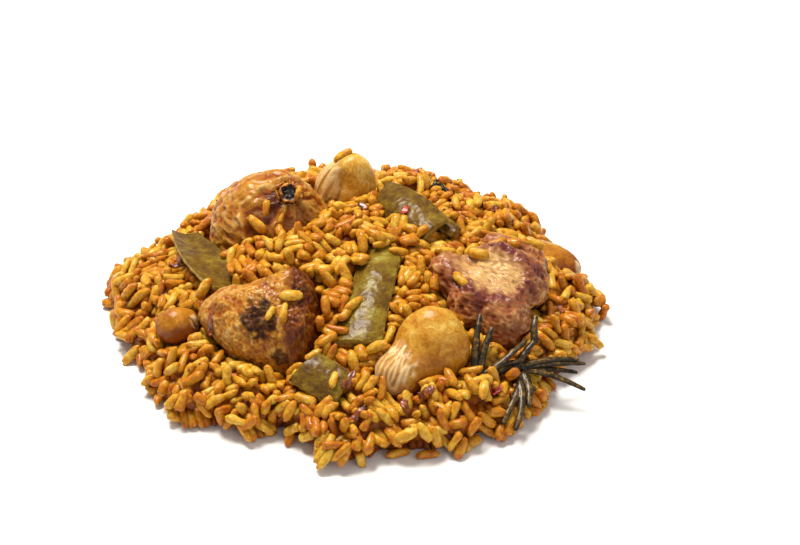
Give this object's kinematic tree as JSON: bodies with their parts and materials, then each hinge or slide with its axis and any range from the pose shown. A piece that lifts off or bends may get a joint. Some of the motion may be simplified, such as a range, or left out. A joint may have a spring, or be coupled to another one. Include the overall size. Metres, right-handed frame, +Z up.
{
  "type": "paella heap",
  "caption": "Loose heap of saffron rice topped with browned chicken and rabbit, butter beans, flat green bean pieces and a rosemary sprig, flat underneath.",
  "frame": {"origin": "middle of the heap's outline, on the surface that it lies on", "axes": "+X to the right along the heap's longest side, -Y to the side that is seen from the front, +Z up"},
  "size_m": [0.173, 0.1588, 0.0434],
  "materials": {
    "rice": "saffron yellow grains, moist, lightly oiled",
    "chicken": "browned glossy skin, wrinkled",
    "bone": "browned ring of bone round charred marrow",
    "rabbit": "browned meat, red brown rim, pale fibres, moist",
    "butter_bean": "thin glossy skin, yellow orange",
    "green_bean": "olive green pod skin, oiled",
    "rosemary": "dark wilted leaves, grey brown beneath",
    "red_pepper": "small flakes of red pepper",
    "browned_bits": "dark browned crumbs and skins",
    "sauce": "stock and oil between the grains"
  },
  "bodies": {
    "root": {"rice": "rice", "chicken_back": "chicken", "chicken_front": "chicken", "chicken_bone": "bone", "rabbit": "rabbit", "butter_bean_top": "butter_bean", "butter_bean_front": "butter_bean", "butter_bean_right": "butter_bean", "butter_bean_left": "butter_bean", "green_bean_left": "green_bean", "green_bean_centre": "green_bean", "green_bean_front": "green_bean", "green_bean_top": "green_bean", "green_bean_under": "green_bean", "rosemary": "rosemary"}
  },
  "joints": []
}
